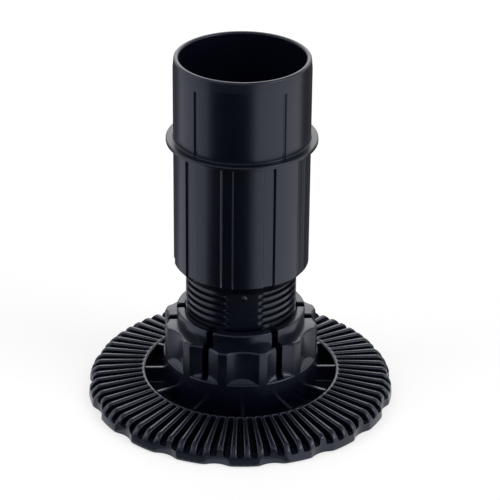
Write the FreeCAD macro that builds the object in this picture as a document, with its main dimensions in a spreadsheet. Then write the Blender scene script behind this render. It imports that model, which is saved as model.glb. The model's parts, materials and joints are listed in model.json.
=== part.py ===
import FreeCAD, Part
import Sketcher
import os

# An adjustable furniture leg in black plastic, made of two mouldings.
# The screw foot is a wide ribbed disc with a scalloped rim and a split, lobed collar at its middle.
# The leg tube screws into that collar and carries the furniture on its spigot.
# Millimetres, +Z up, origin at the centre of the foot's underside.

SIZES = [
    # Leg tube
    ("tube_radius", 21.6, "outside of the leg tube and of its spigot"),
    ("tube_wall", 1.8, "wall of the leg tube"),
    ("spigot_length", 26.7, "spigot above the seat ring"),
    ("lead_length", 3.4, "tapered lead-in at the top of the spigot"),
    ("lead_taper", 0.3, "how far the lead-in draws in"),
    ("seat_reach", 2.3, "how far the seat ring stands out from the tube"),
    ("seat_thickness", 1.4, "height of the seat ring"),
    ("body_length", 41.3, "fluted body between the seat ring and the cone"),
    ("cone_height", 4.9, "cone between the body and the thread"),
    ("shoulder_step", 3.9, "radius that the cone takes off the tube"),
    ("inner_cone_lift", 1.3, "inner cone's top above the outer cone's top"),
    ("inner_cone_drop", 0.2, "inner cone's bottom below the outer cone's bottom"),
    ("thread_wall", 3.0, "wall of the threaded end"),
    ("end_chamfer", 0.6, "chamfer at the threaded end"),
    ("flute_count", 10, "flutes around the body"),
    ("flute_phase", 3.5, "angle of the first flute from +X, in degrees"),
    ("flute_mouth", 5.2, "width of a flute at the surface"),
    ("flute_floor", 2.7, "width of a flute's flat floor"),
    ("flute_depth", 0.8, "depth of a flute"),
    ("line_width", 1.1, "width of a locating line on the spigot"),
    ("line_depth", 0.5, "depth of a locating line"),
    ("line_stop", 5.0, "plain spigot left above a locating line"),
    ("line_phase", 86.3, "angle midway between two locating lines, from +X, in degrees"),
    ("line_spread", 40.2, "angle of each locating line from that middle, in degrees"),
    ("line_count", 2, "like locating lines around the spigot"),
    # Screw drive between the two mouldings
    ("thread_pitch", 2.4, "rise in one turn"),
    ("turns_each_way", 4, "turns from the middle to either end of the travel"),
    ("thread_clearance", 0.25, "radial room between the thread's crest and the bore"),
    ("bottom_clearance", 1.0, "room under the tube at the lowest setting"),
    ("shoulder_clearance", 3.0, "room between collar and cone at the lowest setting"),
    # Hub and split collar of the screw foot
    ("web_thickness", 2.5, "closed floor under the bore"),
    ("bore_wall", 2.25, "wall between the bore and the core below the hub"),
    ("core_width", 2.8, "annular core that lightens the hub from below"),
    ("core_roof", 2.2, "material left above that core"),
    ("hub_wall", 2.2, "wall outside that core"),
    ("hub_height", 14.8, "top of the plain hub"),
    ("lug_height", 11.3, "height of the lobed collar above the hub"),
    ("scallop_count", 12, "scallops between the lobes"),
    ("scallop_radius", 11.0, "radius of a scallop"),
    ("scallop_depth", 1.75, "depth of a scallop"),
    ("collar_wall", 2.85, "wall of the inner collar"),
    ("collar_rise", 4.3, "inner collar above the lobes"),
    ("slot_count", 6, "slots that split the collar"),
    ("slot_width", 2.3, "width of a slot"),
    # Disc of the screw foot
    ("foot_radius", 50.0, "rim of the disc over its lobes"),
    ("rim_wall", 3.5, "height of the rim's outer wall"),
    ("rim_lean", 0.65, "how far that wall leans in"),
    ("bevel_width", 2.15, "bevel from that wall to the ribs, measured inwards"),
    ("bevel_rise", 2.1, "rise of that bevel"),
    ("moat_width", 6.0, "open ring between the hub and the inner ring"),
    ("moat_floor", 2.0, "thickness of the disc under that open ring"),
    ("ring_wall", 1.1, "wall of the inner ring"),
    ("ring_top", 7.4, "height of the inner ring and of the spokes"),
    ("spoke_count", 12, "spokes between the hub and the inner ring"),
    ("spoke_thickness", 1.2, "thickness of a spoke"),
    ("groove_count", 72, "radial grooves between the ribs"),
    ("groove_phase", 3.55, "angle of the first groove from +X, in degrees"),
    ("groove_angle", 2.5, "angle that a groove takes up, in degrees"),
    ("groove_floor", 2.8, "height of the grooves' floor"),
    ("notch_count", 18, "notches around the rim"),
    ("notch_radius", 7.8, "radius of a notch"),
    ("notch_depth", 1.2, "depth of a notch"),
    # Making
    ("cut_margin", 1.0, "how far a cutting outline runs past the surface that it opens"),
]


class Size:
    """A number together with the expression that binds it to the sheet."""

    def __init__(self, value, text):
        self.value = value
        self.text = text

    def joined(self, sign, other, result):
        words = other.text if isinstance(other, Size) else str(other)
        return Size(result, "(%s %s %s)" % (self.text, sign, words))

    def __add__(self, other):
        return self.joined("+", other, self.value + number(other))

    def __sub__(self, other):
        return self.joined("-", other, self.value - number(other))

    def __mul__(self, other):
        return self.joined("*", other, self.value * number(other))

    def __truediv__(self, other):
        return self.joined("/", other, self.value / number(other))

    def __neg__(self):
        return Size(-self.value, "(0 - %s)" % self.text)


def number(size):
    """The plain value of a size or of a number."""
    return size.value if isinstance(size, Size) else size


doc = FreeCAD.newDocument("furniture_leg")
sheet = doc.addObject("Spreadsheet::Sheet", "Sizes")
size = {}
for row, (alias, value, words) in enumerate(SIZES, start=1):
    sheet.set("A%d" % row, words)
    sheet.set("B%d" % row, str(value))
    sheet.setAlias("B%d" % row, alias)
    size[alias] = Size(value, "Sizes." + alias)
doc.recompute()

# Sizes that follow from the driving ones, shared by the two mouldings
travel = size["thread_pitch"] * size["turns_each_way"]
thread_radius = size["tube_radius"] - size["shoulder_step"]
bore_radius = thread_radius + size["thread_clearance"]
core_inner = bore_radius + size["bore_wall"]
core_outer = core_inner + size["core_width"]
hub_radius = core_outer + size["hub_wall"]
ring_inner = hub_radius + size["moat_width"]
ring_outer = ring_inner + size["ring_wall"]
lug_top = size["hub_height"] + size["lug_height"]
collar_top = lug_top + size["collar_rise"]
tube_bottom = size["web_thickness"] + travel + size["bottom_clearance"]
thread_length = collar_top + travel + size["shoulder_clearance"] - tube_bottom
groove_pitch = Size(360, "360") / size["groove_count"]


def origin_part(body, role):
    """One of a body's own origin planes or axes."""
    return next(part for part in body.Origin.OriginFeatures if part.Role == role)


def bind(thing, path, target):
    """Tie a property to a size."""
    thing.setExpression(path, target.text)


def new_sketch(body, name, plane, lift=None, turn=None, swing=None):
    """An empty sketch on an origin plane, lifted along or turned about its normal, or swung about its Y."""
    sketch = body.newObject("Sketcher::SketchObject", name)
    sketch.AttachmentSupport = (origin_part(body, plane), [""])
    sketch.MapMode = "FlatFace"
    if lift is not None:
        bind(sketch, "AttachmentOffset.Base.z", lift)
    if turn is not None:
        bind(sketch, "AttachmentOffset.Rotation.Angle", turn)
    if swing is not None:
        upright = FreeCAD.Vector(0, 1, 0)
        sketch.AttachmentOffset = FreeCAD.Placement(FreeCAD.Vector(), FreeCAD.Rotation(upright, swing.value))
        bind(sketch, "AttachmentOffset.Rotation.Angle", swing)
    return sketch


def pin_point(sketch, edge, end, across, up):
    """Hold a point of a sketch at its place: on an axis where that is 0, else by a bound distance."""
    for kind, axis, place in (("DistanceX", -2, across), ("DistanceY", -1, up)):
        if isinstance(place, Size):
            index = sketch.addConstraint(Sketcher.Constraint(kind, edge, end, place.value))
            bind(sketch, "Constraints[%d]" % index, place)
        else:
            sketch.addConstraint(Sketcher.Constraint("PointOnObject", edge, end, axis))


def outline(sketch, corners):
    """A closed outline of straight edges through corners given as (across, up)."""
    places = [FreeCAD.Vector(number(across), number(up), 0) for across, up in corners]
    count = len(places)
    for i in range(count):
        sketch.addGeometry(Part.LineSegment(places[i], places[(i + 1) % count]))
    for i in range(count):
        sketch.addConstraint(Sketcher.Constraint("Coincident", i, 2, (i + 1) % count, 1))
    for i, (across, up) in enumerate(corners):
        pin_point(sketch, i, 1, across, up)


def bar(sketch, near, far, width):
    """A rectangle along the sketch's own X, from near to far, centred across."""
    half = width / 2
    outline(sketch, [(near, -half), (far, -half), (far, half), (near, half)])


def disc(sketch, across, radius):
    """A circle centred on the sketch's own X."""
    centre = FreeCAD.Vector(across.value, 0, 0)
    sketch.addGeometry(Part.Circle(centre, FreeCAD.Vector(0, 0, 1), radius.value))
    pin_point(sketch, 0, 3, across, 0)
    index = sketch.addConstraint(Sketcher.Constraint("Radius", 0, radius.value))
    bind(sketch, "Constraints[%d]" % index, radius)


def revolve(body, name, corners, swing=None):
    """A solid of revolution about Z from a section given as (radius, height)."""
    sketch = new_sketch(body, name + "_section", "XZ_Plane", swing=swing)
    outline(sketch, corners)
    turned = body.newObject("PartDesign::Revolution", name)
    turned.Profile = sketch
    turned.ReferenceAxis = (sketch, ["V_Axis"])
    turned.Angle = 360
    doc.recompute()
    return turned


def extrude(body, kind, name, sketch, height):
    """A Pad or a Pocket that rises from its sketch."""
    feature = body.newObject("PartDesign::" + kind, name)
    feature.Profile = sketch
    bind(feature, "Length", height)
    feature.Reversed = kind == "Pocket"
    doc.recompute()
    return feature


def around(body, feature, count):
    """Repeat a feature evenly about Z."""
    pattern = body.newObject("PartDesign::PolarPattern", feature.Name + "_around")
    pattern.Originals = [feature]
    pattern.Axis = (origin_part(body, "Z_Axis"), [""])
    pattern.Angle = 360
    bind(pattern, "Occurrences", count)
    body.Tip = pattern
    doc.recompute()
    return pattern


def cut_around(body, name, sketch, height, count):
    """A pocket repeated about Z, which has to take material away."""
    before = body.Shape.Volume
    around(body, extrude(body, "Pocket", name, sketch, height), count)
    check_cut(body, name, before)


def cut_sectors(body, name, corners, phase, angle, count):
    """A section (radius, height) that cuts through an angle about Z, repeated about Z from its phase."""
    before = body.Shape.Volume
    sketch = new_sketch(body, name + "_section", "XZ_Plane", swing=phase)
    outline(sketch, corners)
    cut = body.newObject("PartDesign::Groove", name)
    cut.Profile = sketch
    cut.ReferenceAxis = (sketch, ["V_Axis"])
    cut.Midplane = True
    bind(cut, "Angle", angle)
    doc.recompute()
    around(body, cut, count)
    check_cut(body, name, before)


def check_cut(body, name, before):
    """A cut has to take material away."""
    if body.Shape.Volume >= before:
        raise RuntimeError(name + " cut nothing")


def new_body(label):
    """An empty sub-part; its label names its file."""
    body = doc.addObject("PartDesign::Body", label)
    body.Label = label
    return body


def make_screw_foot():
    """The foot: a turned section, then spokes, cuts in the collar, notches in the rim and grooves."""
    foot = new_body("screw_foot")
    wall_top = size["foot_radius"] - size["rim_lean"]
    # The seam of the turned form lies in the second groove, clear of the notches
    seam = size["groove_phase"] + groove_pitch
    revolve(foot, "foot_form", [
        (0, 0),
        (core_inner, 0),
        (core_inner, size["hub_height"] - size["core_roof"]),
        (core_outer, size["hub_height"] - size["core_roof"]),
        (core_outer, 0),
        (size["foot_radius"], 0),
        (wall_top, size["rim_wall"]),
        (wall_top - size["bevel_width"], size["rim_wall"] + size["bevel_rise"]),
        (ring_outer, size["ring_top"]),
        (ring_inner, size["ring_top"]),
        (ring_inner, size["moat_floor"]),
        (hub_radius, size["moat_floor"]),
        (hub_radius, lug_top),
        (bore_radius + size["collar_wall"], lug_top),
        (bore_radius + size["collar_wall"], collar_top),
        (bore_radius, collar_top),
        (bore_radius, size["web_thickness"]),
        (0, size["web_thickness"]),
    ], swing=seam)

    spoke = new_sketch(foot, "spoke_plan", "XY_Plane", lift=size["moat_floor"] / 2)
    bar(spoke, hub_radius - size["hub_wall"] / 2, ring_inner + size["ring_wall"] / 2, size["spoke_thickness"])
    around(foot, extrude(foot, "Pad", "spoke", spoke, size["ring_top"] - size["moat_floor"] / 2),
           size["spoke_count"])

    scallop = new_sketch(foot, "scallop_plan", "XY_Plane", lift=size["hub_height"])
    disc(scallop, hub_radius - size["scallop_depth"] + size["scallop_radius"], size["scallop_radius"])
    cut_around(foot, "scallop", scallop, size["lug_height"], size["scallop_count"])

    slot = new_sketch(foot, "slot_plan", "XY_Plane", lift=size["hub_height"])
    bar(slot, bore_radius - size["cut_margin"], hub_radius + size["cut_margin"], size["slot_width"])
    cut_around(foot, "slot", slot, size["lug_height"] + size["collar_rise"], size["slot_count"])

    notch = new_sketch(foot, "notch_plan", "XY_Plane")
    disc(notch, size["foot_radius"] - size["notch_depth"] + size["notch_radius"], size["notch_radius"])
    cut_around(foot, "notch", notch, size["ring_top"], size["notch_count"])

    outside = size["foot_radius"] + size["cut_margin"]
    above = size["ring_top"] + size["cut_margin"]
    cut_sectors(foot, "groove", [
        (ring_outer, size["groove_floor"]),
        (outside, size["groove_floor"]),
        (outside, above),
        (ring_outer, above),
    ], size["groove_phase"], size["groove_angle"], size["groove_count"])
    return foot


def make_leg_tube():
    """The leg: a hollow turned section, then flutes on the body and locating lines on the spigot."""
    leg = new_body("leg_tube")
    bind(leg, "Placement.Base.z", tube_bottom)
    cone_top = thread_length + size["cone_height"]
    seat_bottom = cone_top + size["body_length"]
    seat_top = seat_bottom + size["seat_thickness"]
    top = seat_top + size["spigot_length"]
    thread_inner = thread_radius - size["thread_wall"]
    tube_inner = size["tube_radius"] - size["tube_wall"]
    seat_radius = size["tube_radius"] + size["seat_reach"]
    revolve(leg, "leg_form", [
        (thread_inner, 0),
        (thread_radius - size["end_chamfer"], 0),
        (thread_radius, size["end_chamfer"]),
        (thread_radius, thread_length),
        (size["tube_radius"], cone_top),
        (size["tube_radius"], seat_bottom),
        (seat_radius, seat_bottom),
        (seat_radius, seat_top),
        (size["tube_radius"], seat_top),
        (size["tube_radius"], top - size["lead_length"]),
        (size["tube_radius"] - size["lead_taper"], top),
        (tube_inner, top),
        (tube_inner, cone_top + size["inner_cone_lift"]),
        (thread_inner, thread_length - size["inner_cone_drop"]),
    ])

    outside = size["tube_radius"] + size["cut_margin"]
    flute = new_sketch(leg, "flute_plan", "XY_Plane", lift=thread_length, turn=size["flute_phase"])
    floor = size["flute_floor"] / 2
    mouth = size["flute_mouth"] / 2
    outline(flute, [
        (size["tube_radius"] - size["flute_depth"], -floor),
        (size["tube_radius"], -mouth),
        (outside, -mouth),
        (outside, mouth),
        (size["tube_radius"], mouth),
        (size["tube_radius"] - size["flute_depth"], floor),
    ])
    cut_around(leg, "flute", flute, size["cone_height"] + size["body_length"], size["flute_count"])

    for name, angle in (("left_line", size["line_phase"] + size["line_spread"]),
                        ("right_line", size["line_phase"] - size["line_spread"])):
        line = new_sketch(leg, name + "_plan", "XY_Plane", lift=seat_top, turn=angle)
        bar(line, size["tube_radius"] - size["line_depth"], outside, size["line_width"])
        cut_around(leg, name, line, size["spigot_length"] - size["line_stop"], size["line_count"])
    return leg


os.makedirs("parts", exist_ok=True)
bodies = [make_screw_foot(), make_leg_tube()]
doc.recompute()
failed = [thing.Name for thing in doc.Objects if "Invalid" in thing.State or "Error" in thing.State]
if failed:
    raise RuntimeError("failed: " + ", ".join(failed))
for body in bodies:
    if body.Shape.isNull() or not body.Shape.isValid():
        raise RuntimeError(body.Label + " has no valid shape")
    body.Shape.exportStep("parts/%s.step" % body.Label)
    box = body.Shape.BoundBox
    print(body.Label, "solids", len(body.Shape.Solids), "volume %.0f" % body.Shape.Volume,
          "from z %.2f to %.2f, width %.2f" % (box.ZMin, box.ZMax, box.XLength))
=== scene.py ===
# %% [markdown]
# An adjustable furniture leg, moulded in black satin plastic. It is two pieces: a leg tube with a plain
# spigot at its top and a thread at its bottom, and a wide ribbed foot whose lobed, split collar is the nut
# for that thread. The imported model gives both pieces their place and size. This lesson makes a finer skin
# for each of them, with rounded edges and a real thread, then the plastic, the light and the camera.

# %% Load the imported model
import json

import bmesh
import bpy
import numpy as np
from mathutils import Matrix, Vector


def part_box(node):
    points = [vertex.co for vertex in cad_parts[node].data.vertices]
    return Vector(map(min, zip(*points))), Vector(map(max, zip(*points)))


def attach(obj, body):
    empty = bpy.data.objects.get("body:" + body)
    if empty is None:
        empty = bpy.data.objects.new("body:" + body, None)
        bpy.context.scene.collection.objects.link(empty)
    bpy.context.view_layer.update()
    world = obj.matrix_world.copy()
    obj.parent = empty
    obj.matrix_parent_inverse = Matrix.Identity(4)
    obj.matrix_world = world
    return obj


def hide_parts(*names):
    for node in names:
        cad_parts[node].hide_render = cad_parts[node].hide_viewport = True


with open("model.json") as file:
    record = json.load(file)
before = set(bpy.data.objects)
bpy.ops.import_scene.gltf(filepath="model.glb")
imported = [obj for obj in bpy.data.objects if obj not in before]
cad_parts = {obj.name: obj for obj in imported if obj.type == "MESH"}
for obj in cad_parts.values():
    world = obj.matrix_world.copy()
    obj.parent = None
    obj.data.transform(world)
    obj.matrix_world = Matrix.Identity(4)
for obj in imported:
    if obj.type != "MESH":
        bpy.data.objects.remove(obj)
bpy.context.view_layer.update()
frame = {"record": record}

MM = 0.001
mounts = {mount["name"]: mount for mount in frame["record"]["mounts"]}
foot_low, foot_high = (np.array(corner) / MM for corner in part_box("screw_foot"))
leg_low, leg_high = (np.array(corner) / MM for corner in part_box("leg_tube"))
print("foot", foot_low.round(2), foot_high.round(2))
print("leg", leg_low.round(2), leg_high.round(2))

# %% [markdown]
# Both pieces are round, so each is a section carried round the axis: a grid whose rows are the points of
# the section and whose columns are angles. A drawn curve could be spun instead, but a grid can also change
# its radius and height from column to column, which ribs, flutes and a thread need. Sharp corners never
# catch the light as moulded plastic does, so a corner of a section becomes an arc. A circular arc is a
# rational curve: with A and B where the arc leaves its two sides, C the corner and w the cosine of half
# the turn, its points are the weighted mean of A, C and B.

# %% Sections with rounded corners
SIDE_SHARE = 0.96
NO_LENGTH = 1e-9


def section(corners):
    """Rows of a section from corners (radius, height, rounding, points).

    Radius and height are numbers, or arrays over the columns. The arc of a corner C with rounding r reaches
    r times the tangent of half the turn along both sides, to A and B, and two corners share the side between
    them in the ratio of their roundings. With w the cosine of half the turn, its points are
    ((1-t)^2 A + 2t(1-t)w C + t^2 B) / ((1-t)^2 + 2t(1-t)w + t^2).
    """
    columns = max(np.size(corner[0]) for corner in corners)
    spot = np.stack([np.stack(np.broadcast_arrays(radius, height, np.zeros(columns))[:2], -1)
                     for radius, height, _, _ in corners])
    rounding = np.array([corner[2] for corner in corners], float)[:, None, None]
    back = np.roll(spot, 1, axis=0) - spot
    ahead = np.roll(spot, -1, axis=0) - spot
    back_length = np.maximum(np.linalg.norm(back, axis=-1, keepdims=True), NO_LENGTH)
    ahead_length = np.maximum(np.linalg.norm(ahead, axis=-1, keepdims=True), NO_LENGTH)
    cosine = -np.sum(back * ahead, axis=-1, keepdims=True) / (back_length * ahead_length)
    half_turn = np.arccos(np.clip(cosine, -1, 1)) / 2
    back_room = back_length * rounding / np.maximum(rounding + np.roll(rounding, 1, axis=0), NO_LENGTH)
    ahead_room = ahead_length * rounding / np.maximum(rounding + np.roll(rounding, -1, axis=0), NO_LENGTH)
    reach = np.minimum(rounding * np.tan(half_turn), SIDE_SHARE * np.minimum(back_room, ahead_room))
    start = spot + back / back_length * reach
    end = spot + ahead / ahead_length * reach
    weight = np.cos(half_turn)
    rows = []
    for i, (_, _, _, points) in enumerate(corners):
        t = (np.linspace(0, 1, points) if points > 1 else np.array([0.5]))[:, None, None]
        pull = 2 * t * (1 - t) * weight[i]
        share = (1 - t) ** 2 + pull + t ** 2
        rows.append(((1 - t) ** 2 * start[i] + pull * spot[i] + t ** 2 * end[i]) / share)
    return np.concatenate(rows)


def grid_of(parts, columns):
    """Arrays (row, column) of radius and height from named groups of corners, and the rows of each group."""
    rows = {}
    start = 0
    for name, corners in parts.items():
        count = sum(points for _, _, _, points in corners)
        rows[name] = slice(start, start + count)
        start += count
    places = section([corner for corners in parts.values() for corner in corners])
    radius = np.broadcast_to(places[..., 0], (start, columns)).copy()
    height = np.broadcast_to(places[..., 1], (start, columns)).copy()
    print(list(parts), "take", start, "rows of", columns, "columns")
    return radius, height, rows


# %% [markdown]
# A grid becomes a mesh by joining each point to its neighbours in the next row and the next column. A
# moulding is smooth, with a crease only where two faces meet at a real edge, so the mesh is shaded smooth
# and marked sharp past a set turn. A bevel could round the edges instead, but the sections are rounded
# already. Normals weighted by area then keep the flat faces flat beside their narrow roundings.

# %% A skin from a grid
MERGE_WITHIN = 0.002 * MM
SHARP_TURN = np.radians(55)


def skin(name, radius, angle, height, closed):
    """A mesh object from arrays (row, column) in millimetres: x = r cos a, y = r sin a, z = h.

    The columns always close round the axis. The rows close into a ring too where closed is true, and
    otherwise start and end on the axis, where each end row is merged into one point.
    """
    places = np.stack([radius * np.cos(angle), radius * np.sin(angle), height], axis=-1) * MM
    rows, columns = height.shape
    index = np.arange(rows * columns).reshape(rows, columns)
    lower = index if closed else index[:-1]
    upper = np.roll(index, -1, axis=0) if closed else index[1:]
    faces = np.stack([lower, np.roll(lower, -1, axis=1), np.roll(upper, -1, axis=1), upper], axis=-1)
    mesh = bpy.data.meshes.new(name)
    mesh.from_pydata(places.reshape(-1, 3), [], faces.reshape(-1, 4))
    shape = bmesh.new()
    shape.from_mesh(mesh)
    bmesh.ops.remove_doubles(shape, verts=shape.verts, dist=MERGE_WITHIN)
    bmesh.ops.recalc_face_normals(shape, faces=shape.faces)
    shape.to_mesh(mesh)
    shape.free()
    mesh.shade_smooth()
    mesh.set_sharp_from_angle(angle=SHARP_TURN)
    piece = bpy.data.objects.new(name, mesh)
    bpy.context.scene.collection.objects.link(piece)
    even = piece.modifiers.new("even_normals", "WEIGHTED_NORMAL")
    even.keep_sharp = True
    mesh.calc_loop_triangles()
    print(name, "has", len(mesh.loop_triangles), "triangles")
    return piece


# %% [markdown]
# A moulding has no knife edges: a hollow fades into the face that it cuts, and a groove has soft walls.
# Boolean cuts would leave sharp seams there. Smooth formulas over whole arrays don't, and a feature that
# repeats round the axis needs only the angle from the nearest of its directions.


# %% Steps, soft edges and directions
def step(value, low, high):
    """Smooth step from 0 at low to 1 at high: 3s^2 - 2s^3 with s the clipped share of the way."""
    share = np.clip((value - low) / (high - low), 0, 1)
    return share * share * (3 - 2 * share)


def soft_positive(value, softness):
    """The larger of value and 0, with the kink at 0 rounded: (v + sqrt(v^2 + e^2)) / 2."""
    return (value + np.sqrt(value ** 2 + softness ** 2)) / 2


def off_centre(angle, first, count):
    """Signed angle from the nearest of count evenly spaced directions, the first of them at first."""
    pitch = 2 * np.pi / count
    return (angle - first + pitch / 2) % pitch - pitch / 2


def hollowed(radius, angle, count, depth, hollow, outside, softness):
    """A radius cut back by count upright hollows: round cutters of radius hollow, depth into outside.

    A cutter of radius q centred at distance c meets a direction at c cos d - sqrt(q^2 - c^2 sin^2 d), d the
    angle from its own direction.
    """
    aside = off_centre(angle, 0, count)
    centre = outside - depth + hollow
    room = hollow ** 2 - (centre * np.sin(aside)) ** 2
    met = np.where(room > 0, centre * np.cos(aside) - np.sqrt(np.maximum(room, 0)), 2 * outside)
    return radius - soft_positive(radius - met, softness)


def round_the_ring(half, midway):
    """A whole period of columns: the half from its middle outwards, one value midway, and the half back."""
    return np.concatenate([half, [midway], half[:0:-1]])


# %% [markdown]
# The foot is one moulding: seventy-two ribs between grooves that run out through a rounded rim with
# eighteen lobes, an inner ring, spokes over a moat, the hub, and the lobed collar with its slots. It could
# be joined from many solids, but then every joint would show. All of these are heights over a plan of
# rings, so one grid can hold them: grooves and slots press the section down to a floor, and spokes lift it
# up to their top. All sizes are in millimetres. A rounding is the radius of a corner's arc, and a softness
# is the width over which a hollow blends into the face that it cuts.

# %% Sizes of the foot
RIM_RADIUS, RIM_WALL, RIM_LEAN, RIM_FOOT = foot_high[1], 3.8, 0.4, 0.5
BEVEL_WIDTH, BEVEL_RISE, RIM_ROUNDING = 2.15, 2.2, 3.2
RING_INNER, RING_OUTER, RING_TOP = 31.2, 32.3, 7.4
RING_LIP, RING_BEVEL, RING_ROUNDING = 0.07, 0.3, 0.8
MOAT_FLOOR, MOAT_ROUNDING = 2.0, 0.5
HUB_RADIUS, HUB_TOP, HUB_ROUNDING, HUB_ROWS = 25.2, 14.8, 0.5, 6
LUG_TOP, LUG_ROUNDING = 26.1, 0.8
LEDGE_SLOPE, LEDGE_ROUNDING = 0.8, 1.4
COLLAR_RADIUS, COLLAR_TOP, COLLAR_ROUNDING = 20.8, foot_high[2], 0.7
BORE_RADIUS, BORE_ROUNDING, WEB_TOP = 17.95, 0.5, 2.5
CORE_INNER, CORE_OUTER, CORE_TOP = 20.2, 23.0, 12.6
CORE_MOUTH, CORE_ROUNDING = 0.3, 0.6
GROOVES, GROOVE_SHARE, GROOVE_FLOOR, GROOVE_END = 72, 0.5, 2.8, 0.15
GROOVE_PHASE = np.radians(3.55)
RIB_START, RIB_ROWS, RIB_ROUNDING = 1.6, 12, 0.7
NOTCHES, NOTCH_RADIUS, NOTCH_DEPTH, NOTCH_SOFTNESS = 18, 6.9, 1.6, 0.25
SPOKES, SPOKE_THICKNESS = 12, 1.2
SCALLOPS, SCALLOP_RADIUS, SCALLOP_DEPTH, SCALLOP_SOFTNESS = 12, 11.0, 1.75, 0.12
SLOTS, SLOT_WIDTH, SLOT_ROUNDING = 6, 2.3, 0.5
groove_pitch = 2 * np.pi / GROOVES
print("grooves every", round(np.degrees(groove_pitch), 2), "degrees")

# %% [markdown]
# A groove, a slot or a spoke has upright walls with rounded edges. Even columns would need to be very many
# to show that, so the columns of each row are laid close to the walls that this row meets, and few lie
# elsewhere. Half a groove and half a rib share one list of distances from the wall, inside it and outside
# it. Inside, the floor curves up a little. Outside, the top falls away in the rib's rounding. The wall
# stands between the last column inside and the first one outside.

# %% Columns beside the edges of a cut
INSIDE = np.array([-0.35, -0.12, -0.03])
OUTSIDE = np.array([0.03, 0.15, 0.35, 0.65])
FLOOR_RISE = np.array([0.0, 0.0, 0.1, 0.4])


def rounded_edge(distance, rounding):
    """Depth of a rounded edge below its flat top, at a distance from its wall: r - sqrt(r^2 - (r-d)^2)."""
    short = np.maximum(rounding - distance, 0)
    return rounding - np.sqrt(rounding ** 2 - short ** 2)


def cut_rise_and_drop(rounding):
    """Half a cut's columns from its middle outwards: rise above its floor, and drop below the top beside it.

    Inside the cut the surface is the floor plus the rise; outside it is the top less the drop.
    """
    rise = np.concatenate([FLOOR_RISE, np.full(len(OUTSIDE), np.inf)])
    drop = np.concatenate([np.zeros(len(FLOOR_RISE)), rounded_edge(OUTSIDE, rounding)])
    return rise, drop


half_rise, half_drop = cut_rise_and_drop(RIB_ROUNDING)
wall_distance = np.concatenate([[0], INSIDE, OUTSIDE])
PERIOD = 2 * len(wall_distance)
COLUMNS = GROOVES * PERIOD
column = np.arange(COLUMNS)
side = np.sign(PERIOD / 2 - np.arange(PERIOD))
groove_edge = np.tile(round_the_ring(wall_distance, 0) * side, GROOVES)
groove_half = np.tile(round_the_ring(np.where(wall_distance, 1, 0), 0) * side, GROOVES)
groove_whole = np.floor((column + PERIOD / 2) / PERIOD) - 0.5 * (column % PERIOD == PERIOD // 2)
groove_rise = np.tile(round_the_ring(half_rise, np.inf), GROOVES)
groove_drop = np.tile(round_the_ring(half_drop, 0), GROOVES)
even_angle = GROOVE_PHASE + column * groove_pitch / PERIOD
print(PERIOD, "columns for each groove and rib")


# %% Columns of the foot's rings
def crown_angles(radius):
    """Angles of the columns on a ring of the crown.

    They are a groove's direction, half its share of the pitch to the side, and from there the distance
    beside its edge over the radius.
    """
    half_groove = GROOVE_SHARE * groove_pitch / 2
    return GROOVE_PHASE + groove_whole * groove_pitch + groove_half * half_groove + groove_edge / radius


def keyed_columns(count, spare):
    """Count even directions, with spare ones more at each end, and the column nearest to each of them."""
    direction = np.arange(-spare, count + spare) * 2 * np.pi / count
    return direction, np.round((direction - GROOVE_PHASE) / groove_pitch * PERIOD)


def keyed_angles(radius, count, distance):
    """Angles of the columns on a ring with count pairs of radial edges.

    They are laid at the given distances on both sides of each direction, and evenly spread between those.
    """
    direction, middle = keyed_columns(count, 2)
    offset = np.arange(1 - len(distance), len(distance))
    aside = np.sign(offset) * distance[np.abs(offset)]
    keys = (middle[:, None] + offset).ravel()
    return np.interp(column, keys, (direction[:, None] + aside / radius).ravel())


def keyed_values(count, half, elsewhere):
    """Values of the columns that keyed_angles lays beside each direction, and elsewhere between them."""
    _, middle = keyed_columns(count, 0)
    offset = np.arange(1 - len(half), len(half))
    values = np.full(COLUMNS, elsewhere, float)
    values[(middle.astype(int)[:, None] + offset) % COLUMNS] = half[np.abs(offset)]
    return values


# %% Section of the foot
slot_distance = np.concatenate([[0], SLOT_WIDTH / 2 + INSIDE, SLOT_WIDTH / 2 + OUTSIDE])
lug_radius = hollowed(HUB_RADIUS, keyed_angles(HUB_RADIUS, SLOTS, slot_distance),
                      SCALLOPS, SCALLOP_DEPTH, SCALLOP_RADIUS, HUB_RADIUS, SCALLOP_SOFTNESS)
ledge_height = HUB_TOP + LEDGE_SLOPE * (HUB_RADIUS - lug_radius)
hub_edge = [(np.maximum(HUB_RADIUS - HUB_ROUNDING * (1 - np.cos(turn)), lug_radius),
             HUB_TOP - HUB_ROUNDING * (1 - np.sin(turn)), 0, 1)
            for turn in np.linspace(0, np.pi / 2, HUB_ROWS)]
wall_top = RIM_RADIUS - RIM_LEAN
bevel_top, rib_edge = wall_top - BEVEL_WIDTH, RIM_WALL + BEVEL_RISE
rib_slope = (RING_TOP - rib_edge) / (bevel_top - RING_OUTER)
rib_rows = [(radius, rib_edge + rib_slope * (bevel_top - radius), 0, 1)
            for radius in np.linspace(bevel_top - RIB_START, RING_OUTER + GROOVE_END, RIB_ROWS)]
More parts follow.
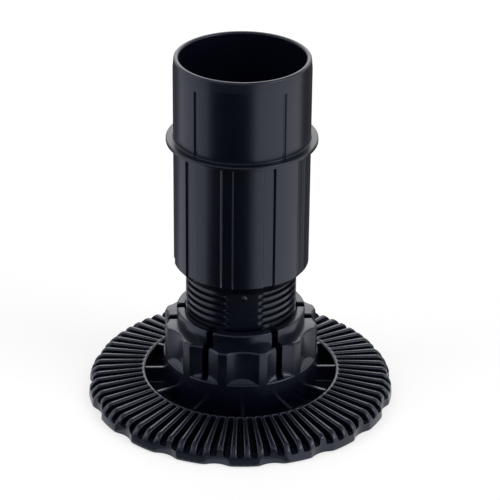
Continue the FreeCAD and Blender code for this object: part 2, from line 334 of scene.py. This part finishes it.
foot_parts = {
    "underside": [(0, 0, 0, 1), (CORE_INNER, 0, CORE_MOUTH, 2), (CORE_INNER, CORE_TOP, CORE_ROUNDING, 2),
                  (CORE_OUTER, CORE_TOP, CORE_ROUNDING, 2), (CORE_OUTER, 0, CORE_MOUTH, 2)],
    "crown": [(RIM_RADIUS, 0, RIM_FOOT, 3), (wall_top, RIM_WALL, RIM_ROUNDING, 6),
              (bevel_top, rib_edge, RIM_ROUNDING, 7), *rib_rows],
    "ring": [(RING_OUTER + RING_LIP, RING_TOP, 0, 1), (RING_OUTER + RING_LIP - RING_BEVEL, RING_TOP, 0, 1),
             (RING_INNER, RING_TOP, RING_ROUNDING, 6)],
    "moat": [(RING_INNER, MOAT_FLOOR, MOAT_ROUNDING, 3), (HUB_RADIUS, MOAT_FLOOR, MOAT_ROUNDING, 3)],
    "collar": [*hub_edge, (lug_radius, ledge_height, LEDGE_ROUNDING, 6),
               (lug_radius, LUG_TOP, LUG_ROUNDING, 6), (COLLAR_RADIUS, LUG_TOP, 0, 1),
               (COLLAR_RADIUS, COLLAR_TOP, COLLAR_ROUNDING, 8), (BORE_RADIUS, COLLAR_TOP, BORE_ROUNDING, 4)],
    "bore": [(BORE_RADIUS, WEB_TOP, BORE_ROUNDING, 3), (0, WEB_TOP, 0, 1)],
}
foot_radius, foot_height, foot_rows = grid_of(foot_parts, COLUMNS)

# %% Columns of the foot
SPOKE_BESIDE = np.array([-0.6, -0.18, -0.06, -0.01, 0.03, 0.12, 0.35])
crown, moat, collar = foot_rows["crown"], foot_rows["moat"], foot_rows["collar"]
ring_edge = foot_rows["ring"].start
foot_angle = np.broadcast_to(even_angle, foot_radius.shape).copy()
foot_angle[crown] = crown_angles(foot_radius[crown, :1])
foot_angle[ring_edge] = crown_angles(foot_radius[ring_edge, 0])
for row in range(moat.start, moat.stop):
    foot_angle[row] = keyed_angles(foot_radius[row, 0], SPOKES, SPOKE_THICKNESS / 2 + SPOKE_BESIDE)
for row in range(collar.start, collar.stop):
    foot_angle[row] = keyed_angles(foot_radius[row].mean(), SLOTS, slot_distance)
print("columns laid for", GROOVES, "grooves,", SPOKES, "spokes and", SLOTS, "slots")

# %% Ribs, spokes and slots of the foot
SPOKE_DROP = np.array([0, 0, 0.06, 0.25])
SPOKE_FOOT = np.array([0.35, 0.1, 0])
foot_radius[crown] = hollowed(foot_radius[crown], foot_angle[crown], NOTCHES, NOTCH_DEPTH, NOTCH_RADIUS,
                              RIM_RADIUS, NOTCH_SOFTNESS)
above_floor = np.clip(foot_height[crown] - GROOVE_FLOOR, 0, 1)
foot_height[crown] = np.minimum(foot_height[crown] - groove_drop * above_floor, GROOVE_FLOOR + groove_rise)
foot_height[ring_edge] -= RING_BEVEL * np.isfinite(groove_rise)
spoke_level = np.concatenate([RING_TOP - SPOKE_DROP, MOAT_FLOOR + SPOKE_FOOT])
foot_height[moat] = np.maximum(foot_height[moat], keyed_values(SPOKES, spoke_level, 0))
slot_rise, slot_drop = cut_rise_and_drop(SLOT_ROUNDING)
above_hub = np.clip(foot_height[collar] - HUB_TOP, 0, 1)
foot_height[collar] = np.minimum(foot_height[collar] - keyed_values(SLOTS, slot_drop, 0) * above_hub,
                                 HUB_TOP + keyed_values(SLOTS, slot_rise, np.inf))
foot_skin = skin("screw_foot_skin", foot_radius, foot_angle, foot_height, closed=False)

# %% [markdown]
# The leg tube is a hollow turned form. Its spigot has a tapered lead-in and thin locating lines, a seat
# ring stands out below it, and ten shallow flutes run down the body to a cone. Below the cone is a
# square-cut thread, broken by a flat on two sides, where the mould parts, with a small pip on the front
# one. A screw modifier could sweep a thread, but a radius over angle and height is simpler: the ridge's
# phase is the height over the pitch less the angle over a full turn. The rows of the grid lean with the
# thread between the flats, so that its steep flanks run along the rows.

# %% Sizes of the leg tube
TUBE_RADIUS, TUBE_WALL = mounts["spigot"]["dims"]["r_mm"], 1.8
TUBE_INNER = TUBE_RADIUS - TUBE_WALL
LEG_BOTTOM, LEG_TOP = leg_low[2], leg_high[2]
SEAT_RADIUS, SEAT_TOP, SEAT_THICKNESS = leg_high[0], mounts["seat_ring"]["pos_m"][2] / MM, 1.4
SEAT_BOTTOM = SEAT_TOP - SEAT_THICKNESS
SEAT_ROUNDING, SEAT_FILLET = 0.4, 0.3
CONE_TOP, CONE_BOTTOM, CONE_FOOT, CONE_ROUNDING = 47.6, 44.0, 18.5, 0.1
BODY_ROUNDING = 0.5
INNER_CONE_TOP, INNER_CONE_BOTTOM, INNER_ROUNDING = 49.2, 42.8, 1.0
LEAD_LENGTH, LEAD_TAPER, LEAD_ROUNDING, LIP_ROUNDING = 3.4, 0.3, 1.0, 0.6
THREAD_CREST, THREAD_ROOT, THREAD_INNER = 17.8, 16.6, 14.7
THREAD_PITCH, THREAD_PHASE, TURN_ROWS = 2.4, 0.286, 16
THREAD_START, THREAD_STOP = 1.2, 0.02
END_CHAMFER, END_ROUNDING = 0.6, 0.3
FLANK = (-0.16, -0.02)
FLAT_MIDDLE, FLAT_HALF, RUN_OUT = np.radians(-88.4), np.radians(20.6), np.radians([15.0, 25.0])
PIP_HEIGHT, PIP_RADIUS, PIP_FLAT, PIP_LEVEL, PIP_COLUMNS = 0.45, 1.0, 0.2, 41.7, 15
FLUTES, FLUTE_MOUTH, FLUTE_FLOOR, FLUTE_DEPTH = 10, 4.3, 3.1, 0.65
FLUTE_PHASE = np.radians(4.1)
LINE_WIDTH, LINE_DEPTH, LINE_FLAT, LINE_STOP, LINE_END = 1.5, 0.4, 0.1, 5.0, 0.05
LINE_ANGLES = np.radians([47.2, 125.3, 227.2, 305.3])
print("thread with", round((CONE_BOTTOM - LEG_BOTTOM) / THREAD_PITCH, 1), "turns")

# %% [markdown]
# The columns of the tube stand close together on the walls of the flutes. The spigot and the thread have
# the same columns, so that one grid holds the whole tube, but some of them are moved to lie across the
# locating lines and the pip.

# %% Columns of the leg tube
FLUTE_HALF = np.array([0, 0.7, 1.2, 1.45, 1.58, 1.68, 1.78, 1.88, 2.0, 2.14, 2.3, 2.7, 3.4, 4.3, 5.25, 6.2])
LINE_SHARES = np.array([0.25, 0.5, 0.75, 1.0, 1.4])
flute_pitch = 2 * np.pi / FLUTES
flute_period = 2 * len(FLUTE_HALF)
leg_columns = FLUTES * flute_period
leg_column = np.arange(leg_columns)
flute_turned = np.sign(flute_period / 2 - np.arange(flute_period))
flute_side = np.tile(round_the_ring(FLUTE_HALF, 0) * flute_turned, FLUTES)
flute_whole = np.floor((leg_column + flute_period / 2) / flute_period)
flute_whole = flute_whole - 0.5 * (leg_column % flute_period == flute_period // 2)
body_angle = FLUTE_PHASE + flute_whole * flute_pitch + flute_side / TUBE_RADIUS


def laid_angles(directions, aside):
    """The body's columns, moved so that some lie at the given angles beside each of the directions."""
    nearest = np.abs(off_centre(body_angle - directions[:, None], 0, 1)).argmin(axis=1)
    order = np.argsort(nearest)
    offset = np.arange(len(aside)) - len(aside) // 2
    keys = (nearest[order, None] + offset).ravel()
    found = body_angle[nearest[order]]
    marks = ((found - off_centre(found - directions[order], 0, 1))[:, None] + aside).ravel()
    keys = np.concatenate([keys - leg_columns, keys, keys + leg_columns])
    marks = np.concatenate([marks - 2 * np.pi, marks, marks + 2 * np.pi])
    return np.interp(leg_column, keys, marks)


line_half = LINE_WIDTH / 2 * LINE_SHARES
line_beside = np.concatenate([-line_half[::-1], [0], line_half])
spigot_angle = laid_angles(LINE_ANGLES, line_beside / TUBE_RADIUS)
pip_beside = np.linspace(-PIP_RADIUS, PIP_RADIUS, PIP_COLUMNS)
thread_angle = laid_angles(FLAT_MIDDLE + np.array([0, np.pi]), pip_beside / THREAD_ROOT)
print(leg_columns, "columns round the leg")


# %% Thread
def thread_lean(angle):
    """Rise of a row that leans with the thread, counted from the middle of a threaded half.

    It is the pitch over a full turn times the angle from that middle. On the flats, where there is no
    thread, the rows go back to level.
    """
    aside = off_centre(angle, FLAT_MIDDLE + np.pi / 2, 2)
    return THREAD_PITCH / (2 * np.pi) * aside * step(np.pi / 2 - np.abs(aside), 0, RUN_OUT[0])


def thread_radius(height, angle):
    """Radius of the threaded end: a cylinder with two flats, less a groove that climbs by one pitch a turn.

    With p the phase, the groove is where the cosine of 2 pi p is negative, with steep flanks, and it runs
    out to nothing at the flats. A flat is a plane at a distance from the axis, so its radius is that
    distance over the cosine of the angle from its middle. A small round pip stands on the front flat.
    """
    phase = height / THREAD_PITCH - angle / (2 * np.pi) - THREAD_PHASE
    beside = off_centre(angle, FLAT_MIDDLE, 2)
    groove = (1 - step(np.cos(2 * np.pi * phase), *FLANK)) * step(np.abs(beside), *RUN_OUT)
    plain = np.minimum(THREAD_CREST, THREAD_CREST * np.cos(FLAT_HALF) / np.cos(beside))
    across = THREAD_ROOT * off_centre(angle, FLAT_MIDDLE, 1)
    pip = PIP_HEIGHT * (1 - step(np.hypot(across, height - PIP_LEVEL), PIP_FLAT, PIP_RADIUS))
    return plain - (THREAD_CREST - THREAD_ROOT) * groove + pip


# %% Rows of the thread
# Half a turn is added at each end, because the rows lean.
thread_low, thread_high = LEG_BOTTOM + THREAD_START, CONE_BOTTOM - THREAD_STOP
turn_low, turn_high = thread_low / THREAD_PITCH - 0.5, thread_high / THREAD_PITCH + 0.5
thread_rows = np.arange(np.floor(turn_low * TURN_ROWS), np.floor(turn_high * TURN_ROWS))
first_phase = THREAD_PHASE + (FLAT_MIDDLE + np.pi / 2) / (2 * np.pi)
thread_heights = THREAD_PITCH * (thread_rows / TURN_ROWS + first_phase + 0.5 / TURN_ROWS)
print(len(thread_rows), "rows of thread")

# %% Section of the leg tube
leg_parts = {
    "end": [(THREAD_INNER, LEG_BOTTOM, END_ROUNDING, 3), (THREAD_ROOT, LEG_BOTTOM, END_CHAMFER, 3)],
    "thread": [(THREAD_ROOT, height, 0, 1) for height in thread_heights],
    "body": [(CONE_FOOT, CONE_BOTTOM, CONE_ROUNDING, 2), (TUBE_RADIUS, CONE_TOP, BODY_ROUNDING, 5),
             (TUBE_RADIUS, SEAT_BOTTOM, SEAT_FILLET, 3)],
    "seat": [(SEAT_RADIUS, SEAT_BOTTOM, SEAT_ROUNDING, 4), (SEAT_RADIUS, SEAT_TOP, SEAT_ROUNDING, 4)],
    "lines": [(TUBE_RADIUS, SEAT_TOP, SEAT_FILLET, 3), (TUBE_RADIUS, LEG_TOP - LINE_STOP - LINE_END, 0, 1)],
    "lead": [(TUBE_RADIUS, LEG_TOP - LINE_STOP + LINE_END, 0, 1),
             (TUBE_RADIUS, LEG_TOP - LEAD_LENGTH, LEAD_ROUNDING, 3),
             (TUBE_RADIUS - LEAD_TAPER, LEG_TOP, LIP_ROUNDING, 5)],
    "inside": [(TUBE_INNER, LEG_TOP, LIP_ROUNDING, 5), (TUBE_INNER, INNER_CONE_TOP, INNER_ROUNDING, 4),
               (THREAD_INNER, INNER_CONE_BOTTOM, INNER_ROUNDING, 4)],
}
leg_radius, leg_height, leg_rows = grid_of(leg_parts, leg_columns)

# %% Thread, flutes and lines of the leg tube
thread, body, lines = leg_rows["thread"], leg_rows["body"], leg_rows["lines"]
leg_angle = np.broadcast_to(body_angle, leg_radius.shape).copy()
leg_angle[thread] = thread_angle
leg_angle[leg_rows["seat"].start:leg_rows["lead"].stop] = spigot_angle
leg_height[thread] = np.clip(leg_height[thread] + thread_lean(leg_angle[thread]), thread_low, thread_high)
leg_radius[thread] = thread_radius(leg_height[thread], leg_angle[thread])
flute_aside = np.abs(off_centre(leg_angle[body], FLUTE_PHASE, FLUTES)) * TUBE_RADIUS
flute_cut = FLUTE_DEPTH * (1 - step(flute_aside, FLUTE_FLOOR / 2, FLUTE_MOUTH / 2))
leg_radius[body] = np.minimum(leg_radius[body], TUBE_RADIUS - flute_cut)
line_turn = np.abs(off_centre(leg_angle[lines] - LINE_ANGLES[:, None, None], 0, 1)).min(axis=0)
leg_radius[lines] -= LINE_DEPTH * (1 - step(line_turn * TUBE_RADIUS, LINE_FLAT, LINE_WIDTH / 2))
leg_skin = skin("leg_tube_skin", leg_radius, leg_angle, leg_height, closed=True)

# %% [markdown]
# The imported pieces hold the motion: the leg goes up and down in the foot as its thread is turned. The
# skins could be moved by hand for each height, but then they would drift from the model. So each skin
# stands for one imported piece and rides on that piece's body.

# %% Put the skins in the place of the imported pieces
for piece, node, carrier, slot in ((foot_skin, "screw_foot", "foot", "foot_plastic"),
                                   (leg_skin, "leg_tube", "leg", "leg_plastic")):
    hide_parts(node)
    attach(piece, carrier)
    print(piece.name, "stands for", node, "and rides on", carrier)

# %% [markdown]
# The plastic is black with a breath of blue, and satin: it reflects the room softly. One flat black would
# look painted. Real mouldings are never quite even, so faint flow marks change the tone and the gloss a
# little, and a fine spark-eroded grain changes the gloss and bumps the surface. Both are noise over the
# piece's own place, so they stay put when it moves. The maths is written as plain expressions, which one
# small class turns into nodes.


# %% Shader maths as expressions
class Value:
    """A socket of a node tree; arithmetic on it adds Math nodes, and a plain number may come first."""

    def __init__(self, tree, socket):
        self.tree = tree
        self.socket = socket

    def math(self, operation, other, swap=False):
        pair = (other, self) if swap else (self, other)
        return self.tree.node("ShaderNodeMath", {"operation": operation}, {0: pair[0], 1: pair[1]})

    def __add__(self, other):
        return self.math("ADD", other)

    __radd__ = __add__

    def __sub__(self, other):
        return self.math("SUBTRACT", other)

    def __rsub__(self, other):
        return self.math("SUBTRACT", other, swap=True)

    def __mul__(self, other):
        return self.math("MULTIPLY", other)

    __rmul__ = __mul__


class Nodes:
    """A node tree under construction, with one method that adds any node."""

    def __init__(self, owner):
        owner.use_nodes = True
        self.tree = owner.node_tree
        self.tree.nodes.clear()

    def node(self, kind, settings=None, inputs=None, output=0):
        """Add a node of a kind, set its settings, then its sockets' values or links; return one output."""
        made = self.tree.nodes.new(kind)
        for key, value in (settings or {}).items():
            setattr(made, key, value)
        for key, value in (inputs or {}).items():
            if isinstance(value, Value):
                self.tree.links.new(value.socket, made.inputs[key])
            else:
                made.inputs[key].default_value = value
        return Value(self, made.outputs[output]) if made.outputs else None

    def seen(self):
        """1 for rays from the camera, and for rays sent on by a glossy or clear surface; 0 for the rest."""
        kinds = ("Is Camera Ray", "Is Glossy Ray", "Is Transmission Ray")
        camera, glossy, clear = (self.node("ShaderNodeLightPath", output=kind) for kind in kinds)
        return camera + glossy + clear


# %% Black satin plastic
DEEP_BLACK, PALE_BLACK = (0.0008, 0.0014, 0.0060, 1), (0.0016, 0.0024, 0.0082, 1)
BLUE_SHEEN, PLASTIC_IOR = (0.75, 0.825, 1.0, 1), 1.6
FLOW_GLOSS, GRAIN_GLOSS = 0.10, 0.06


def satin_plastic(name, gloss):
    """Black moulded plastic: roughness wanders round gloss, and a fine grain bumps the surface."""
    material = bpy.data.materials.new(name)
    finish = Nodes(material)
    place = finish.node("ShaderNodeTexCoord", output="Object")
    grain = finish.node("ShaderNodeTexNoise", {},
                        {"Vector": place, "Scale": 2600.0, "Detail": 3.0, "Roughness": 0.6})
    flow = finish.node("ShaderNodeTexNoise", {},
                       {"Vector": place, "Scale": 70.0, "Detail": 4.0, "Roughness": 0.55})
    tone = finish.node("ShaderNodeMix", {"data_type": "RGBA"},
                       {"Factor": flow, 6: DEEP_BLACK, 7: PALE_BLACK}, output=2)
    roughness = gloss + (flow - 0.5) * FLOW_GLOSS + (grain - 0.5) * GRAIN_GLOSS
    bump = finish.node("ShaderNodeBump", {}, {"Height": grain, "Strength": 0.06, "Distance": 0.00008})
    shader = finish.node("ShaderNodeBsdfPrincipled", {},
                         {"Base Color": tone, "Roughness": roughness, "Normal": bump, "IOR": PLASTIC_IOR,
                          "Specular Tint": BLUE_SHEEN})
    finish.node("ShaderNodeOutputMaterial", {}, {"Surface": shader})
    print(name, "has", len(material.node_tree.nodes), "nodes")
    return material


foot_skin.data.materials.append(satin_plastic("foot_satin_black", 0.26))
leg_skin.data.materials.append(satin_plastic("leg_satin_black", 0.29))

# %% [markdown]
# Black plastic shows little of its own colour; it shows the room. A pale floor and a white room would make
# it grey all round, so cards stand about it, as a photographer sets them. Upright walls mirror the floor,
# so there is a black card on the floor in front, a light one at the left and a dark one behind. A grey card
# close to the rim is painted shade: it is the rim's shadow on the floor as the plastic mirrors it. Rounded
# edges mirror the room in front and above, so a grey wall stands in front and a grey card hangs overhead.
# The camera doesn't see the cards, only the plastic does. The floor is lifted to white for the camera and
# for reflections, and still takes a shadow.

# %% Floor and cards
SHEET_COLUMNS = 49
FLOOR_GREY, FLOOR_LIFT = 0.5, 0.6
CARD_BLUE = 1.1


def round_sheet(name, start, end, edges):
    """A sheet round the axis between two edges (radius, height) in metres: x = r sin a, y = -r cos a.

    The height is z, and the angle a runs from start to end, in degrees from the front to the right.
    """
    angle = np.radians(np.linspace(start, end, SHEET_COLUMNS))
    radius, height = np.array(edges).T[..., None]
    places = np.stack(np.broadcast_arrays(radius * np.sin(angle), -radius * np.cos(angle), height), -1)
    index = np.arange(2 * angle.size).reshape(2, -1)
    faces = np.stack([index[0, :-1], index[1, :-1], index[1, 1:], index[0, 1:]], -1)
    mesh = bpy.data.meshes.new(name)
    mesh.from_pydata(places.reshape(-1, 3), [], faces)
    sheet = bpy.data.objects.new(name, mesh)
    bpy.context.scene.collection.objects.link(sheet)
    return sheet


def pale_floor():
    """Floor finish: plain pale, and lifted to white for the camera and for reflections."""
    material = bpy.data.materials.new("pale_floor")
    finish = Nodes(material)
    pale = finish.node("ShaderNodeBsdfDiffuse", {}, {"Color": (FLOOR_GREY, FLOOR_GREY, FLOOR_GREY, 1)})
    lift = finish.node("ShaderNodeEmission", {}, {"Strength": finish.seen() * FLOOR_LIFT})
    both = finish.node("ShaderNodeAddShader", {}, {0: pale, 1: lift})
    finish.node("ShaderNodeOutputMaterial", {}, {"Surface": both})
    return material


def card_finish(name, share):
    """Card finish: an even, slightly blue grey, given as a share of white."""
    material = bpy.data.materials.new(name)
    finish = Nodes(material)
    grey = (share, share, share * CARD_BLUE, 1)
    even = finish.node("ShaderNodeEmission", {}, {"Color": grey, "Strength": 1.0})
    finish.node("ShaderNodeOutputMaterial", {}, {"Surface": even})
    return material


# %% Where the floor and the cards lie
FLOOR = ((0.0, -0.0002), (6.0, -0.0002))
ON_FLOOR = ((0.051, 0.0004), (0.8, 0.0004))
BY_RIM = ((0.0505, 0.0004), (0.058, 0.0004))
PAST_RIM = ((0.058, 0.0004), (0.8, 0.0004))
UPRIGHT = ((0.8, 0.0004), (0.8, 0.62))
OVERHEAD = ((0.0, 0.62), (0.7, 0.62))
CARDS = (
    # The grey card by the rim is painted shade: the rim's shadow on the floor, as the plastic mirrors it.
    ("painted_rim_shadow_card", -56, 17, BY_RIM, 0.3),
    ("front_card", -56, 17, PAST_RIM, 0.012),
    ("left_card", -126, -56, ON_FLOOR, 0.78),
    ("back_card", 107, 234, ON_FLOOR, 0.1),
    ("front_wall", -80, 30, UPRIGHT, 0.4),
    ("overhead_card", -180, 180, OVERHEAD, 0.35),
)
floor = round_sheet("floor", -180, 180, FLOOR)
floor.data.materials.append(pale_floor())
for name, start, end, edges, share in CARDS:
    card = round_sheet(name, start, end, edges)
    card.data.materials.append(card_finish(name, share))
    card.visible_camera = False
    card.visible_shadow = False
    card.visible_diffuse = False
    print(name, "from", start, "to", end, "degrees at", share, "of white")

# %% [markdown]
# A white room gives most of the light, as a light tent does. Lamps alone would leave black plastic with
# hard bright spots. Two soft lamps at the sides draw the edges, and a low, slightly warm one behind is
# mirrored by level faces such as the seat ring and the tops of the collar's lugs.


# %% Lamps and room
def area_light(name, place, aim, size, power, colour):
    """A soft square lamp at a place, turned to its aim."""
    lamp = bpy.data.lights.new(name, "AREA")
    lamp.size = size
    lamp.energy = power
    lamp.color = colour
    holder = bpy.data.objects.new(name, lamp)
    holder.location = place
    holder.rotation_euler = (Vector(aim) - Vector(place)).to_track_quat("-Z", "Y").to_euler()
    bpy.context.scene.collection.objects.link(holder)
    print(name, "at", place, "with", power, "W")


LAMP_AIM = (0, 0, 0.05)
WHITE, WARM_WHITE = (1.0, 1.0, 1.0), (1.0, 0.95, 0.89)
ROOM_LIGHT, ROOM_LIFT = 0.55, 0.45
area_light("right_light", (0.9, -0.5, 0.9), LAMP_AIM, 0.7, 5, WHITE)
area_light("left_light", (-0.9, -0.3, 0.8), LAMP_AIM, 0.7, 3, WHITE)
area_light("back_light", (0.0, 1.2, 0.66), LAMP_AIM, 0.66, 2.15, WARM_WHITE)

world = bpy.data.worlds.new("white_room")
bpy.context.scene.world = world
room = Nodes(world)
light = room.node("ShaderNodeBackground", {},
                  {"Color": (*WHITE, 1), "Strength": ROOM_LIGHT + room.seen() * ROOM_LIFT})
room.node("ShaderNodeOutputWorld", {}, {"Surface": light})

# %% [markdown]
# The camera stands where the photograph's camera stood: a long lens about three quarters of a metre away,
# looking down by about twenty-seven degrees, and turned slightly so that the foot's spokes line up as they
# do there. It could be aimed by a constraint, but a product of plain turns and shifts shows each step:
# from the lens outwards, distance, roll, tilt, target and turn.

# %% Camera
PITCH, DISTANCE, LENS, FILM_WIDTH = np.radians(27.29), 0.7396, 166.2, 36.0
TURN, ROLL = np.radians(-1.9), 0.0093
TARGET = (0.0028, 0.0, 0.0504)
NEAREST = 0.01
camera = bpy.data.cameras.new("camera")
camera.lens = LENS
camera.sensor_width = FILM_WIDTH
camera.sensor_fit = "HORIZONTAL"
camera.clip_start = NEAREST
holder = bpy.data.objects.new("camera", camera)
around = Matrix.Rotation(TURN, 4, "Z")
tilt = Matrix.Rotation(np.pi / 2 - PITCH, 4, "X")
holder.matrix_world = (around @ Matrix.Translation(TARGET) @ tilt
                       @ Matrix.Rotation(ROLL, 4, "Z") @ Matrix.Translation((0, 0, DISTANCE)))
bpy.context.scene.collection.objects.link(holder)
bpy.context.scene.camera = holder
bpy.context.scene.view_settings.view_transform = "Standard"
print("camera at", [round(value, 4) for value in holder.matrix_world.translation])
